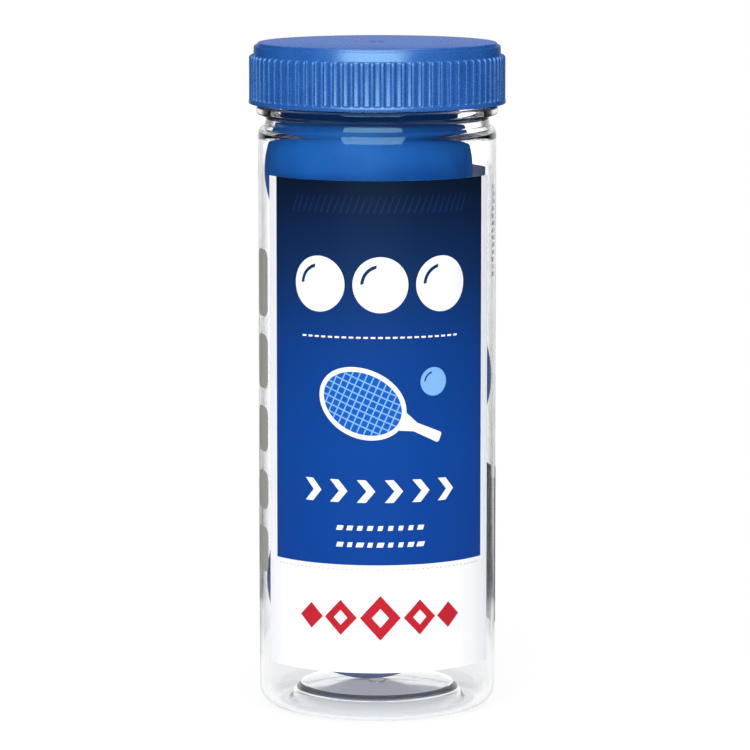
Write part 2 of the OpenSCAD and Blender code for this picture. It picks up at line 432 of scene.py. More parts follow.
def printed_marks_tree():
    """Rows of small slanted marks, printed round a drum.

    Each mark is a thin closed block, narrower at its upper end by Taper, and its width varies by
    Width Swing.
    """
    tree, given = new_tree(
        "printed_marks",
        "GeometryNodeTree",
        {
            "Geometry": "Geometry", "Count": 10, "Rows": 1, "First Along": 0.0,
            "First Height": 0.0, "Step": 1.0, "Row Step": 1.0, "Mark Width": 1.0,
            "Mark Height": 1.0, "Slant": 0.0, "Taper": 0.0, "Width Swing": 0.0, "Seed": 0,
            "Drum Radius": 1.0, "Ink": 1.0, "Material": "Material",
        },
        {"Geometry": "Geometry"},
    )

    # One mark, drawn flat about the origin, from its inner face outwards
    block = take(tree, "GeometryNodeMeshCube", {"Vertices X": 4}, "Mesh")
    corner = split(take(tree, "GeometryNodeInputPosition"))
    narrow = 1.0 - (corner["Z"] + 0.5) * given["Taper"]
    flat = joined(
        tree,
        corner["X"] * given["Mark Width"] * narrow + corner["Z"] * given["Slant"],
        (corner["Y"] + 0.5) * given["Ink"],
        corner["Z"] * given["Mark Height"],
    )
    mark = put(tree, "GeometryNodeSetPosition", {"Geometry": block, "Position": flat})

    # Where the marks lie
    index = take(tree, "GeometryNodeInputIndex")
    row = (index / given["Count"]).maths("FLOOR")
    column = index - row * given["Count"]
    along = given["First Along"] + column * given["Step"]
    height = given["First Height"] + row * given["Row Step"]
    into = {"Count": given["Count"] * given["Rows"], "Position": joined(tree, along, 0.0, height)}
    spots = put(tree, "GeometryNodePoints", into)
    into = {"Min": 1.0 - given["Width Swing"], "Max": 1.0, "Seed": given["Seed"]}
    chance = put(tree, "FunctionNodeRandomValue", into, data_type="FLOAT")
    width = Value(next(output for output in chance.outputs if output.enabled))
    into = {"Points": spots, "Instance": mark, "Scale": joined(tree, width, 1.0, 1.0)}
    marks = put(tree, "GeometryNodeInstanceOnPoints", into)
    marks = put(tree, "GeometryNodeRealizeInstances", {"Geometry": marks})

    # Laid round the drum
    spot = split(take(tree, "GeometryNodeInputPosition"))
    angle = spot["X"] / given["Drum Radius"]
    radius = spot["Y"] + given["Drum Radius"]
    x, y = radius * angle.maths("SINE"), radius * angle.maths("COSINE") * -1.0
    into = {"Geometry": marks, "Position": joined(tree, x, y, spot["Z"])}
    marks = put(tree, "GeometryNodeSetPosition", into)
    return ended(tree, marks, given["Material"])


TURNED = turned_shape_tree()
MARKS = printed_marks_tree()


# Effects shared by materials


def fine_grain_group():
    """Fine grain and slow mottling of a moulded surface."""
    tree, given = new_tree(
        "fine_grain",
        "ShaderNodeTree",
        {
            "Place": "Vector", "Grain Size": 0.5 * MM, "Mottle Size": 8 * MM, "Colour": "Color",
            "Mottled Colour": "Color", "Roughness": 0.4, "Roughness Swing": 0.1,
        },
        {"Colour": "Color", "Roughness": "Float", "Height": "Float"},
    )

    def noise(size, detail):
        into = {"Vector": given["Place"], "Scale": 1.0 / size, "Detail": detail, "Roughness": 0.55}
        return take(tree, "ShaderNodeTexNoise", into, "Fac")

    grain, mottle = noise(given["Grain Size"], 2.0), noise(given["Mottle Size"], 3.0)
    colour = blended(mottle.eased(0.3, 0.7), given["Colour"], given["Mottled Colour"])
    swing = (grain - 0.5) * given["Roughness Swing"]
    roughness = given["Roughness"].maths("ADD", swing, clamp=True)
    put(tree, "NodeGroupOutput", {"Colour": colour, "Roughness": roughness, "Height": grain})
    return tree


def handling_marks_group():
    """Faint hair scratches, in two directions, as a mask that is 1 in a scratch."""
    tree, given = new_tree(
        "handling_marks",
        "ShaderNodeTree",
        {"Place": "Vector", "Spacing": 3 * MM, "Amount": 0.5},
        {"Mask": "Float"},
    )

    stretch, scratches_in, peaks = (1.0, 0.04, 0.3), 8.0, (0.7, 0.78)

    def streaks(turn, shift):
        """Stretched noise, which reads as long thin streaks."""
        into = {
            "Vector": given["Place"],
            "Location": (shift, shift, shift),
            "Rotation": (turn, turn / 2, turn),
            "Scale": stretch,
        }
        place = put(tree, "ShaderNodeMapping", into)
        into = {"Vector": place, "Scale": scratches_in / given["Spacing"], "Detail": 1.0}
        return take(tree, "ShaderNodeTexNoise", into, "Fac").eased(*peaks)

    both = either(streaks(turn=0.6, shift=0.013), streaks(turn=-0.9, shift=0.047))
    put(tree, "NodeGroupOutput", {"Mask": both * given["Amount"]})
    return tree


FINE_GRAIN = fine_grain_group()
HANDLING_MARKS = handling_marks_group()


# Materials

SCRATCH_ROUGH = 0.3  # how much rougher a surface is in a hair scratch


def bare_material(name, **sockets):
    """A material, its tree, its shader with these sockets set, and its Object coordinates."""
    material = bpy.data.materials.new(name)
    material.use_nodes = True
    tree = material.node_tree
    shader = tree.nodes["Principled BSDF"]
    feed(shader, {socket.replace("_", " "): value for socket, value in sockets.items()})
    return material, tree, shader, take(tree, "ShaderNodeTexCoord", output="Object")


def raised(shader, height, deep):
    """Gives a shader fine relief, deep from 0 to 1 of height."""
    into = {"Height": height, "Strength": 1.0, "Distance": deep}
    feed(shader, {"Normal": take(shader.id_data, "ShaderNodeBump", into, "Normal")})


def grained(shader, place, colours, roughness, swing, grain, mottle, bump, scratches=0.0):
    """Feeds a shader from fine_grain, between two colours, with hair scratches if there are any."""
    into = {
        "Place": place,
        "Grain Size": grain,
        "Mottle Size": mottle,
        "Colour": colours[0],
        "Mottled Colour": colours[1],
        "Roughness": roughness,
        "Roughness Swing": swing,
    }
    look = outputs(put(place.tree, "ShaderNodeGroup", into, node_tree=FINE_GRAIN))
    rough, height = look["Roughness"], look["Height"]
    if scratches:
        into = {"Place": place, "Amount": scratches}
        mask = take(place.tree, "ShaderNodeGroup", into, "Mask", node_tree=HANDLING_MARKS)
        rough = rough + mask * SCRATCH_ROUGH
        height = height - mask
    feed(shader, {"Base Color": look["Colour"], "Roughness": rough})
    raised(shader, height, bump)


def clear_plastic():
    """Blown clear plastic. Lamps and diffuse light go straight through to what is inside."""
    material, tree, shader, place = bare_material(
        "clear_plastic",
        Base_Color=(0.99, 0.995, 1.0, 1.0),
        Transmission_Weight=1.0,
        IOR=1.54,
        Roughness=0.0,
    )
    wave, wave_deep = 14 * MM, 0.03 * MM
    into = {"Vector": place, "Scale": 1 / wave, "Detail": 1.0}
    raised(shader, take(tree, "ShaderNodeTexNoise", into, "Fac"), wave_deep)
    path = outputs(put(tree, "ShaderNodeLightPath"))
    # Gloss from pieces in air does so too: its light has crossed an even number of surfaces
    in_air = 1.0 - path["Transmission Depth"].maths("MODULO", 2.0)
    mirrored = (path["Is Glossy Ray"] - path["Is Transmission Ray"]) * in_air
    straight = either(path["Is Shadow Ray"], path["Is Diffuse Ray"], mirrored)
    open_shader = put(tree, "ShaderNodeBsdfTransparent", {"Color": (0.97, 0.98, 0.985, 1.0)})
    mix = put(tree, "ShaderNodeMixShader", {0: straight, 1: shader, 2: open_shader})
    feed(tree.nodes["Material Output"], {"Surface": mix})
    return material


def film_plastic():
    """The clear label film: it hardly bends light, so only its gloss and a faint haze show."""
    material, tree, shader, place = bare_material(
        "label_film", Base_Color=(0.6, 0.6, 0.57, 1.0), Roughness=0.15, Specular_IOR_Level=0.3
    )
    patch, least, more = 5 * MM, 0.008, 0.02
    into = {"Vector": place, "Scale": 1 / patch, "Detail": 3.0}
    haze = take(tree, "ShaderNodeTexNoise", into, "Fac").eased(0.35, 0.75)
    feed(shader, {"Alpha": haze * more + least})
    return material


def ink(name, *stops):
    """Printing ink with a fine screen. Each stop is a height in metres and the tone there."""
    material, tree, shader, place = bare_material(f"{name}_ink", Specular_IOR_Level=0.1)
    low_z, high_z = stops[0][0], stops[-1][0]
    into = {"Value": split(place)["Z"], "From Min": low_z, "From Max": max(high_z, low_z + MM)}
    share = take(tree, "ShaderNodeMapRange", into, "Result")
    ramp = put(tree, "ShaderNodeValToRGB", {"Fac": share})
    ends = ramp.color_ramp.elements
    ends[0].color, ends[1].color = stops[0][1], stops[-1][1]
    for z, colour in stops[1:-1]:
        ends.new((z - low_z) / (high_z - low_z)).color = colour
    screen = {"roughness": 0.36, "swing": 0.08, "grain": 0.25 * MM, "mottle": 6 * MM}
    grained(shader, place, (ramp, ramp), bump=0.0015 * MM, **screen)
    return material


def moulded(name, colours, roughness, swing, grain, mottle, bump, scratches=0.0, **sockets):
    """A moulded surface, with its grain, mottle and bump in millimetres."""
    material, _, shader, place = bare_material(name, **sockets)
    grained(
        shader, place, colours, roughness, swing, grain * MM, mottle * MM, bump * MM, scratches
    )
    return material


CLEAR = clear_plastic()
FILM_CLEAR = film_plastic()
CAP_BLUE = moulded(
    "cap_plastic", (tone(27, 83, 158), tone(34, 90, 166)), roughness=0.27, swing=0.06, grain=0.35,
    mottle=9, bump=0.0015, scratches=0.35, Specular_IOR_Level=1.0, IOR=1.6,
)
RUBBER = moulded(
    "ball_rubber", (tone(10, 80, 158), tone(18, 89, 166)), roughness=0.52, swing=0.14, grain=0.3,
    mottle=7, bump=0.012, scratches=0.5, Specular_IOR_Level=0.16,
)
CEMENT = moulded(
    "seam_cement", (tone(8, 56, 124), tone(10, 64, 136)), roughness=0.55, swing=0.1, grain=0.2,
    mottle=3, bump=0.01, Specular_IOR_Level=0.3,
)
FOAM = moulded(
    "liner_foam", (tone(52, 84, 132), tone(62, 94, 142)), roughness=0.62, swing=0.16, grain=0.28,
    mottle=5, bump=0.03, Specular_IOR_Level=0.3,
)
WHITE_INK = ink("white", (0.0, tone(230, 230, 234)))
SKY_INK = ink("sky", (0.0, tone(120, 170, 222)))
MID_BLUE_INK = ink("mid_blue", (0.0, tone(16, 84, 176)))
DIM_BLUE_INK = ink("dim_blue", (0.0, tone(20, 42, 86)))
PALE_GREY_INK = ink("pale_grey", (0.0, tone(186, 190, 198)))
GREY_INK = ink("grey", (0.0, tone(150, 149, 145)))
DARK_GREY_INK = ink("dark_grey", (0.0, tone(92, 92, 90)))
RED_INK = ink("red", (0.0, tone(178, 28, 42)))
BLUE_INK = ink(
    "blue",
    (BLUE_LOW_Z, tone(5, 58, 138)),
    (75 * MM, tone(6, 61, 139)),
    (102 * MM, tone(8, 56, 128)),
    (123 * MM, tone(12, 42, 88)),
    (FILM.high_z, tone(7, 20, 40)),
)


# The jar


def turned(name, points, material, columns, shares=None, **sizes):
    """A piece turned from points (radius, height), by the turned_shape tree.

    shares gives the outline's point attributes by name, each as a function of a point.
    """
    edges = [(i, i + 1) for i in range(len(points) - 1)]
    outline = mesh_object(name, [(p.x, 0.0, p.y) for p in points], edges=edges)
    for attribute, share_at in (shares or {}).items():
        values = outline.data.attributes.new(attribute, "FLOAT", "POINT")
        values.data.foreach_set("value", [share_at(p) for p in points])
    return grown(outline, TURNED, columns=columns, material=material, **sizes)


def threaded(**sizes):
    """The inputs of a thread on a turned piece: what both threads share, and these."""
    shared = {"pitch": THREAD.pitch, "root_width": THREAD.root_w, "crest_width": THREAD.crest_w}
    return {f"thread_{name}": size for name, size in (shared | sizes).items()}


def base_height(radius):
    """Height of the underside of the base: a crowned panel inside a smooth sloping side."""
    panel_r = JAR.body_r - JAR.heel_r - JAR.foot_w - JAR.riser_w
    if radius <= panel_r:
        return JAR.push_h + JAR.crown_h * (1 - (radius / panel_r) ** 2)
    share = (radius - panel_r) / JAR.riser_w
    return JAR.push_h * (1 + math.cos(math.pi * share)) / 2


def jar():
    foot_out_r = JAR.body_r - JAR.heel_r
    foot_in_r = foot_out_r - JAR.foot_w
    bead_top_z = CAP.low_z - JAR.cap_gap
    bead_z = bead_top_z - JAR.bead_t
    neck_z = bead_z - JAR.bead_slope
    neck_low_z = neck_z - JAR.neck_h
    # The shoulder bends slowly off the wall, then quickly into a cone that meets the neck
    slow, lean = math.radians(SHOULDER_TURN), math.radians(SHOULDER_LEAN)
    slow_x = JAR.body_r - JAR.slow_shoulder_r
    quick_x = slow_x + (JAR.slow_shoulder_r - JAR.quick_shoulder_r) * math.cos(slow)
    cone_x = quick_x + JAR.quick_shoulder_r * math.cos(lean)
    cone_z = neck_low_z - (cone_x - JAR.neck_foot_r) / math.tan(lean)
    quick_z = cone_z - JAR.quick_shoulder_r * math.sin(lean)
    slow_z = quick_z - (JAR.slow_shoulder_r - JAR.quick_shoulder_r) * math.sin(slow)
    inner_r = JAR.body_r - JAR.wall
    throat_z = neck_low_z - JAR.throat_drop

    radii = [foot_in_r * i / BASE_RINGS for i in range(BASE_RINGS + 1)]
    gate_z = JAR.push_h + JAR.crown_h - JAR.gate_h
    lip_r = JAR.gate_r + JAR.gate_lip
    underside = rounded(
        [
            (0.0, gate_z, 0.0),
            (JAR.gate_r, gate_z, JAR.gate_round),
            (JAR.gate_r + JAR.gate_side, base_height(JAR.gate_r), JAR.gate_side),
            (lip_r, base_height(lip_r), 0.0),
        ]
    )
    underside += [Vector((r, base_height(r))) for r in radii if r > JAR.gate_r + JAR.gate_blend]
    neck_and_finish = rounded(
        [
            (cone_x, cone_z, 0.0),
            (JAR.neck_foot_r, neck_low_z, JAR.neck_foot_round),
            (JAR.neck_r, neck_z, JAR.neck_round),
            (JAR.bead_r, bead_z, JAR.bead_round),
            (JAR.bead_r, bead_top_z, JAR.bead_round),
            (JAR.finish_r, bead_top_z, JAR.bead_round),
            (JAR.finish_r, JAR.rim_z, JAR.rim_round),
            (JAR.bore_r, JAR.rim_z, JAR.rim_round),
            (JAR.bore_r, throat_z, JAR.throat_round),
            (inner_r, throat_z - (inner_r - JAR.bore_r), JAR.inner_shoulder_r),
            (inner_r, slow_z - JAR.inner_shoulder_r, 0.0),
        ]
    )
    heel = (foot_out_r, JAR.heel_r)
    points = (
        underside
        + arc(heel, JAR.heel_r, -90, 0)
        + arc((slow_x, slow_z), JAR.slow_shoulder_r, 0, SHOULDER_TURN, steps=10)
        + arc((quick_x, quick_z), JAR.quick_shoulder_r, SHOULDER_TURN, SHOULDER_LEAN, steps=8)[1:-1]
        + neck_and_finish
        + arc(heel, JAR.heel_r - JAR.wall, 0, -90)
        + [Vector((r, base_height(r) + JAR.base_t)) for r in reversed(radii)]
    )
    points = sampled(points, JAR.thread_row, bead_top_z, JAR.rim_z)

    def on_finish(point):
        return float(point.x > JAR.finish_r - ON_LINE and bead_top_z + JAR.thread_clear < point.y)

    thread = threaded(
        height=THREAD.height,
        turns=JAR_THREAD_TURNS,
        low_z=JAR.rim_z - JAR_THREAD_DROP - JAR_THREAD_TURNS * THREAD.pitch,
    )
    shares = {"thread_share": on_finish}
    made = turned("jar_shell", points, CLEAR, columns=240, shares=shares, **thread)
    return finished(made, CLEAR, "jar", replaces=["jar"], sharp=50)


# The cap and its liner


def screw_cap():
    rib_top_z = CAP.top_z - CAP.rib_drop
    skirt_top_z = rib_top_z - CAP.rib_seat
    band_top_z = CAP.low_z + CAP.band_h
    ledge_z = CAP.top_z - CAP.ledge_drop
    lip_out_r = CAP.rim_r - CAP.rim_draft
    lip_in_r = lip_out_r - CAP.lip_w
    keeper_z = CAP.top_z - CAP.keeper_drop
    points = rounded(
        [
            (0.0, CAP.top_z - CAP.gate_dip, 0.0),
            (CAP.gate_r, CAP.top_z - CAP.gate_dip, CAP.gate_round),
            (CAP.gate_r + CAP.gate_side, CAP.top_z, CAP.gate_side),
            (CAP.disc_r, CAP.top_z, CAP.disc_round),
            (CAP.disc_r + CAP.disc_draft, ledge_z, CAP.lip_round),
            (lip_in_r, ledge_z, CAP.lip_round),
            (lip_in_r, ledge_z + CAP.lip_h, CAP.lip_round),
            (lip_out_r, ledge_z + CAP.lip_h, CAP.edge_round),
            (CAP.rim_r, rib_top_z, CAP.edge_round),
            (CAP.skirt_r, skirt_top_z, CAP.edge_round),
            (CAP.skirt_r, skirt_top_z - CAP.rib_bevel, 0.0),
            (CAP.skirt_r, band_top_z, CAP.corner_r),
            (CAP.band_r, band_top_z - CAP.band_slope, CAP.corner_r),
            (CAP.band_r, CAP.low_z, CAP.lower_round),
            (CAP.in_r, CAP.low_z, CAP.lower_round),
            (CAP.in_r, keeper_z - CAP.keeper_w, CAP.keeper_round),
            (CAP.in_r - CAP.keeper_h, keeper_z - CAP.keeper_w / 2, CAP.keeper_round),
            (CAP.in_r, keeper_z, CAP.keeper_round),
            (CAP.in_r, CAP.ceiling_z, CAP.ceiling_round),
            (0.0, CAP.ceiling_z, 0.0),
        ],
        steps=3,
    )
    # Rows close enough together for the thread, and for the ribs' rounded ends
    inner_wall = CAP.in_r + CAP.inner_skin
    points = sampled(points, CAP.thread_row, CAP.low_z, keeper_z, within=inner_wall)
    bevel_z = rib_top_z - CAP.rib_bevel
    points = sampled(points, CAP.rib_row, bevel_z + CAP.rib_clear, rib_top_z)

    def ribs(point):
        from_top = rib_top_z + 2 * ON_LINE - point.y
        if point.x < CAP.rim_r + 2 * ON_LINE or from_top < 0:
            return 0.0
        rise = min(1.0, from_top / CAP.rib_bevel)
        under = max(0.0, 1 - (point.x - CAP.skirt_r) / CAP.rib_h)
        return math.sqrt(1 - (1 - rise) ** 2) * min(1.0, under)

    def under_keeper(point):
        return float(abs(point.x - CAP.in_r) < ON_LINE and point.y < keeper_z - CAP.keeper_w)

    # The cap's ridge lies just under the jar's, flank to flank
    half_widths = (THREAD.root_w + THREAD.crest_w) / 2
    half_widths -= (THREAD.root_w - THREAD.crest_w) / 2 * THREAD.radial_gap / THREAD.height
    low_z = CAP.low_z + CAP_THREAD_RISE
    jar_low_z = JAR.rim_z - JAR_THREAD_DROP - JAR_THREAD_TURNS * THREAD.pitch
    start = (low_z + half_widths + THREAD.flank_gap - jar_low_z) / THREAD.pitch
    made = turned(
        "cap_shell",
        points,
        CAP_BLUE,
        columns=RIB_COUNT * RIB_COLUMNS,
        shares={"thread_share": under_keeper, "rib_share": ribs},
        rib_count=RIB_COUNT,
        rib_gather=1.0,
        rib_height=CAP.rib_h,
        rib_foot_width=CAP.rib_w,
        rib_crest_width=CAP.rib_crest_w,
        **threaded(height=-THREAD.height, turns=CAP_THREAD_TURNS, low_z=low_z, start=start),
    )
    return finished(made, CAP_BLUE, "cap", replaces=["screw_cap"], sharp=45)


def cap_liner():
    """The foam disc, with the ring that the jar's rim has pressed into its underside."""
    low, high = (corner.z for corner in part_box("cap_liner"))
    dented = low + LINER.dent_deep
    points = rounded(
        [
            (0.0, low, 0.0),
            (LINER.dent_in_r, low, LINER.dent_round),
            (LINER.dent_in_r + LINER.dent_side, dented, LINER.dent_round),
            (LINER.dent_out_r, dented, LINER.dent_round),
            (LINER.dent_out_r + LINER.dent_side, low, LINER.dent_round),
            (LINER.r, low, LINER.edge),
            (LINER.r, high, LINER.edge),
            (0.0, high, 0.0),
        ]
    )
    made = turned("liner_disc", points, FOAM, columns=192)
    return finished(made, FOAM, "liner", replaces=["cap_liner"], sharp=60)


# The balls


def ball_frame(name, turn):
    """Where a ball lies, by its CAD halves, and how its seam is turned, in degrees about X, Y, Z."""
    halves = [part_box(f"{name}_ball_{side}_half") for side in ("upper", "lower")]
    low = [min(box[0][i] for box in halves) for i in range(3)]
    high = [max(box[1][i] for box in halves) for i in range(3)]
    middle = (Vector(low) + Vector(high)) / 2
    x, y, z = (Matrix.Rotation(math.radians(a), 4, axis) for a, axis in zip(turn, "XYZ"))
    return Matrix.Translation(middle) @ z @ y @ x


def ball(name, turn):
    """The two moulded halves of a ball and the cement between them, each its own piece."""
    place = ball_frame(name, turn)
    body = f"{name}_ball"
    edge = BALL.seam_t / 2
    inner_r = BALL.r - BALL.wall
    # The ground edge at the seam lies a little under the ball's round surface
    outside = arc((0, 0), BALL.r, 90, EASE_ABOVE, steps=56)
    for angle, sunk in SEAM_EASE + ((math.degrees(math.asin(edge / BALL.r)), 1.0),):
        outside.append(on_circle(BALL.r - BALL.seam_deep * sunk, angle))
    outside[-1].y = edge
    inside = arc((0, 0), inner_r, math.degrees(math.asin(edge / inner_r)), 90, steps=40)
    inside[0].y = edge
    outside[0].x = inside[-1].x = 0.0
    for side, flip in (("upper", 1), ("lower", -1)):
        points = [Vector((p.x, p.y * flip)) for p in outside + inside]
        made = turned(f"{body}_{side}_shell", points, RUBBER, BALL_COLUMNS)
        made.data.transform(place)
        finished(made, RUBBER, body, replaces=[f"{body}_{side}_half"], sharp=55)
    # The cement's outer face is ground off just under the rubber, and its bead shows inside
    half_t = edge - BALL.cement_gap
    out_r, in_r = BALL.r - BALL.seam_deep * CEMENT_SUNK, inner_r - BALL.flash
    ring = [
        (out_r, -half_t, BALL.cement_edge),
        (out_r, half_t, BALL.cement_edge),
        (in_r, half_t, BALL.flash_round),
        (in_r, -half_t, BALL.flash_round),
    ]
    points = rounded(ring, closed=True)
    made = turned(f"{body}_cement", points + points[:1], CEMENT, BALL_COLUMNS)
    made.data.transform(place)
    finished(made, CEMENT, body, replaces=[f"{body}_seam"], sharp=60)


# The label


def label_film():
    """One length of film round the jar, with its end lapped over its start at the back."""
    half_lap = FILM.lap_w / 2 / FILM.in_r
    ramp = FILM.lap_ramp / FILM.in_r
    first, last = math.pi - half_lap, 3 * math.pi + half_lap

    def lift(angle):
        share = min(1.0, max(0.0, (angle - (last - 2 * half_lap - ramp)) / ramp))
        return FILM.lap_lift * share * share * (3 - 2 * share)

    ring = []
    for thick, order in ((0.0, range(FILM_STEPS + 1)), (FILM.thick, range(FILM_STEPS, -1, -1))):
        for i in order:
            angle = first + (last - first) * i / FILM_STEPS
            radius = FILM.in_r + thick + lift(angle)
            ring.append((radius * math.sin(angle), -radius * math.cos(angle)))
    count = len(ring)
    vertices = [(x, y, z) for z in (FILM.low_z, FILM.high_z) for x, y in ring]
    faces = [(i, (i + 1) % count, count + (i + 1) % count, count + i) for i in range(count)]
    # The ends are closed by quads between the film's inner and outer lines
    for base in (0, count):
        across = base + count - 1
        faces += [(base + i, base + i + 1, across - i - 1, across - i) for i in range(FILM_STEPS)]
    made = mesh_object("label_film", vertices, faces=faces)
    return finished(made, FILM_CLEAR, "jar", replaces=["wrap_label"])


def round_film(degrees):
    """Millimetres along the prints that go this far round the jar."""
    return INK.first_r * math.radians(degrees) / MM


def printed(name, shapes, material, layer, middle=0.0):
    """Flat shapes of ink laid on the film, each a thin closed solid.

    A shape is a list of outlines in (along, height) about middle: the outer one, then any holes.
    """
    shape = bmesh.new()
    for outlines in shapes:
        flat = [[Vector(((middle + x) * MM, z * MM, 0.0)) for x, z in line] for line in outlines]
        corners = [shape.verts.new((point.x, 0.0, point.y)) for line in flat for point in line]
        for triangle in tessellate_polygon(flat):
            shape.faces.new([corners[i] for i in triangle])
    # Cut into narrow upright strips, so that it bends round the jar
    reach = max(abs(v.co.x) for v in shape.verts)
    for i in range(math.floor(-reach / INK.cut), math.ceil(reach / INK.cut) + 1):
        everything = shape.verts[:] + shape.edges[:] + shape.faces[:]
        bmesh.ops.bisect_plane(
            shape, geom=everything, plane_co=(i * INK.cut, 0, 0), plane_no=(1, 0, 0), dist=CUT_TOUCH
        )
    thickened = bmesh.ops.extrude_face_region(shape, geom=shape.faces[:], use_keep_orig=True)
    for corner in thickened["geom"]:
        if isinstance(corner, bmesh.types.BMVert):
            corner.co.y = INK.thick
    base_r = INK.first_r + layer * INK.step
    for corner in shape.verts:
        angle, radius = corner.co.x / INK.first_r, base_r + corner.co.y
        corner.co.x, corner.co.y = radius * math.sin(angle), -radius * math.cos(angle)
    made = mesh_object(name, [])
    shape.to_mesh(made.data)
    shape.free()
    return finished(made, material, "jar", sharp=30)


def marks(name, material, layer, first, size, count, step, slant=0.0, **looks):
    """Rows of marks on the film, by the printed_marks tree, with their lengths in millimetres.

    first is the middle of the lowest mark on the left. It, a mark's size, the count of marks and
    the step between them are all given along and then up.
    """
    made = grown(
        mesh_object(name, [(0, 0, 0)]),
        MARKS,
        count=count[0],
        rows=count[1],
        first_along=first[0] * MM,
        first_height=first[1] * MM,
        step=step[0] * MM,
        row_step=step[1] * MM,
        mark_width=size[0] * MM,
        mark_height=size[1] * MM,
        slant=slant * MM,
        drum_radius=INK.first_r + layer * INK.step,
        ink=INK.thick,
        material=material,
        **looks,
    )
    return finished(made, material, "jar", sharp=30)


def box_outline(left, right, low, high, corner=0.0):
    corners = [(left, low), (right, low), (right, high), (left, high)]
    return [tuple(p) for p in rounded([(*c, corner) for c in corners], closed=True)]


def oval(x, z, half_w, half_h, steps=64):
    angles = [TURN * i / steps for i in range(steps)]
    return [(x + half_w * math.cos(a), z + half_h * math.sin(a)) for a in angles]


def bar(x0, z0, x1, z1, width):
    """A straight stroke from one point to another."""
    start, end = Vector((x0, z0)), Vector((x1, z1))
    side = (end - start).orthogonal().normalized() * width / 2
    return [tuple(p) for p in (start - side, end - side, end + side, start + side)]


def ball_sign(x, z, radius):
    """A plain disc with a curved slit of shade in it, as a sign for a ball."""
    outer_r, inner_r = 0.72 * radius, 0.6 * radius
    slit = arc((x, z), outer_r, 100, 180) + arc((x, z), inner_r, 176, 104)
    return [oval(x, z, radius, radius), [tuple(p) for p in slit]]


def diamond(x, z, half_w, half_h):
    return [(x - half_w, z), (x, z - half_h), (x + half_w, z), (x, z + half_h)]


def chevron(x, z, wide, high, thick):
    """An arrowhead, from its back at x, pointing along."""
    low, top, tip = z - high / 2, z + high / 2, x + wide
    return [(x, low), (x + thick, low), (tip, z), (x + thick, top), (x, top), (tip - thick, z)]


def moved(outlines, x, z, turn):
    """Outlines turned about the origin by degrees and then moved."""
    c, s = math.cos(math.radians(turn)), math.sin(math.radians(turn))
    return [[(x + c * px - s * pz, z + s * px + c * pz) for px, pz in line] for line in outlines]


def racket_sign(name, middle, x, z, turn):
    """A short-handled racket with a strung oval head, printed in three layers."""
    head_w, head_h, rim, string, gap = 12.6, 9.4, 1.3, 0.36, 1.9
    in_w, in_h = head_w - rim, head_h - rim
    upright, level = [], []
    for i in range(-5, 6):
        at, reach = i * gap, in_h * math.sqrt(1 - (i * gap / in_w) ** 2)
        upright.append([bar(at, -reach, at, reach, string)])
    for i in range(-3, 4):
        at, reach = i * gap, in_w * math.sqrt(1 - (i * gap / in_h) ** 2)
        level.append([bar(-reach, at, reach, at, string)])
    # The handle, half of it at a time: how far along it is, its half width and its rounding
    side = [(head_w - 0.4, 2.6, 0.0), (head_w + 3.4, 1.25, 0.8), (head_w + 11.5, 1.5, 0.7)]
    handle = rounded(side[:1] + [(x, -z, r) for x, z, r in side] + side[:0:-1], closed=True)

    def sign(part, shapes, material, layer):
        laid = [moved(shape, x, z, turn) for shape in shapes]
        printed(f"{name}_{part}", laid, material, layer, middle)

    bed = oval(0, 0, in_w, in_h)
    sign("bed", [[bed]], MID_BLUE_INK, 3)
    sign("upright_strings", upright, SKY_INK, 4)
    sign("level_strings", level, SKY_INK, 5)
    sign("frame", [[oval(0, 0, head_w, head_h), bed]], WHITE_INK, 3)
    sign("handle", [[[tuple(p) for p in handle]]], WHITE_INK, 4)


def court_plan(name, middle, z, half_w, half_h, line):
    """A court seen from above: its walls, and the lines that the serve is played from."""
    reach = half_w - line
    floor = box_outline(-reach, reach, z - half_h + line, z + half_h - line)
    lines = [[box_outline(-half_w, half_w, z - half_h, z + half_h), floor]]
    serve, aisle = 0.25 * half_h, 0.85 * half_w
    for at in (0.0, serve):
        lines.append([bar(-reach, z + at, reach, z + at, line)])
    for at in (-aisle, aisle):
        lines.append([bar(at, z + line / 2, at, z + serve - line / 2, line)])
    printed(name, lines, WHITE_INK, 3, middle)


def red_diamonds(name, middle, z, scale):
    """A row of five diamonds, the middle one largest, and all open but the last on each side."""
    shapes = []
    least_open, open_share = 4.0, 0.42
    for at, half_w, half_h in ((0, 5.6, 6.2), (11.0, 4.6, 4.9), (19.8, 3.6, 3.6)):
        size = Vector((half_w, half_h)) * scale
        for x in sorted({-at * scale, at * scale}):
            hole = [diamond(x, z, *(size * open_share))] if half_w > least_open else []
            shapes.append([diamond(x, z, *size)] + hole)
    printed(name, shapes, RED_INK, 2, middle)


